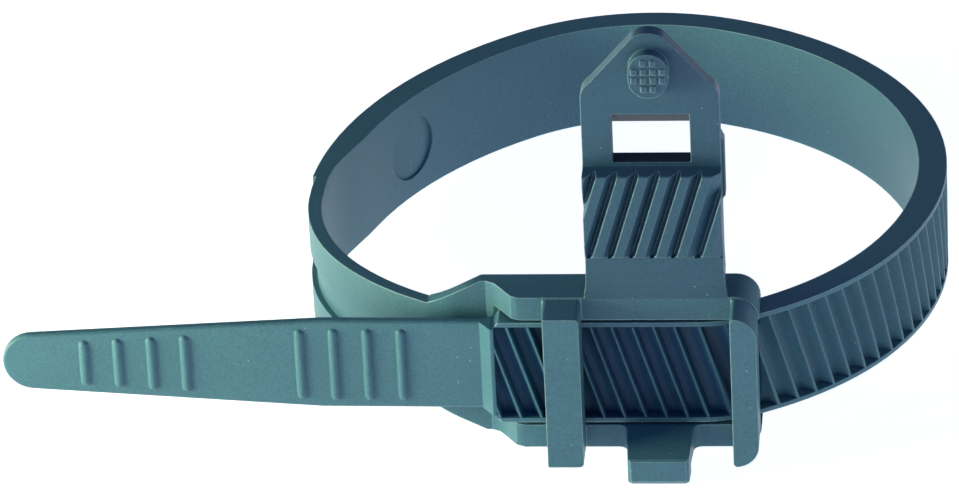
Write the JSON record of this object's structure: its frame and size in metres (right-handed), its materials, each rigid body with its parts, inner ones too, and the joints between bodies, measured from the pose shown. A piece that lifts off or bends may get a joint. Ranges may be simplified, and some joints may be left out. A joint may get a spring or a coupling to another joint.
{
  "type": "releasable cable tie",
  "caption": "Releasable nylon cable tie closed to a round loop, with slanted outside teeth, a barred head and a hinged latch flap standing open over its catch.",
  "frame": {"origin": "middle of the saddle, the flat inner face of the head that the bundle lies against, halfway across the strap's width", "axes": "+X along the strap through the head towards the side where the strap goes in, +Y from the saddle into the loop, +Z across the strap towards the latch flap's hinge"},
  "size_m": [0.0748, 0.0584, 0.0372],
  "materials": {
    "nylon_strap": "moulded nylon with a fine sheen",
    "nylon_flap": "moulded nylon with a fine sheen"
  },
  "bodies": {
    "tie": {"tie": "nylon_strap"},
    "flap": {"latch_flap": "nylon_flap"}
  },
  "joints": [
    {"name": "flap_hinge", "type": "hinge", "parent": "tie", "child": "flap", "pos_m": [0, -0.00395, 0.0071], "axis": [1, 0, 0], "range_deg": [0, 180], "stiffness_Nm_per_rad": 0.0008}
  ]
}
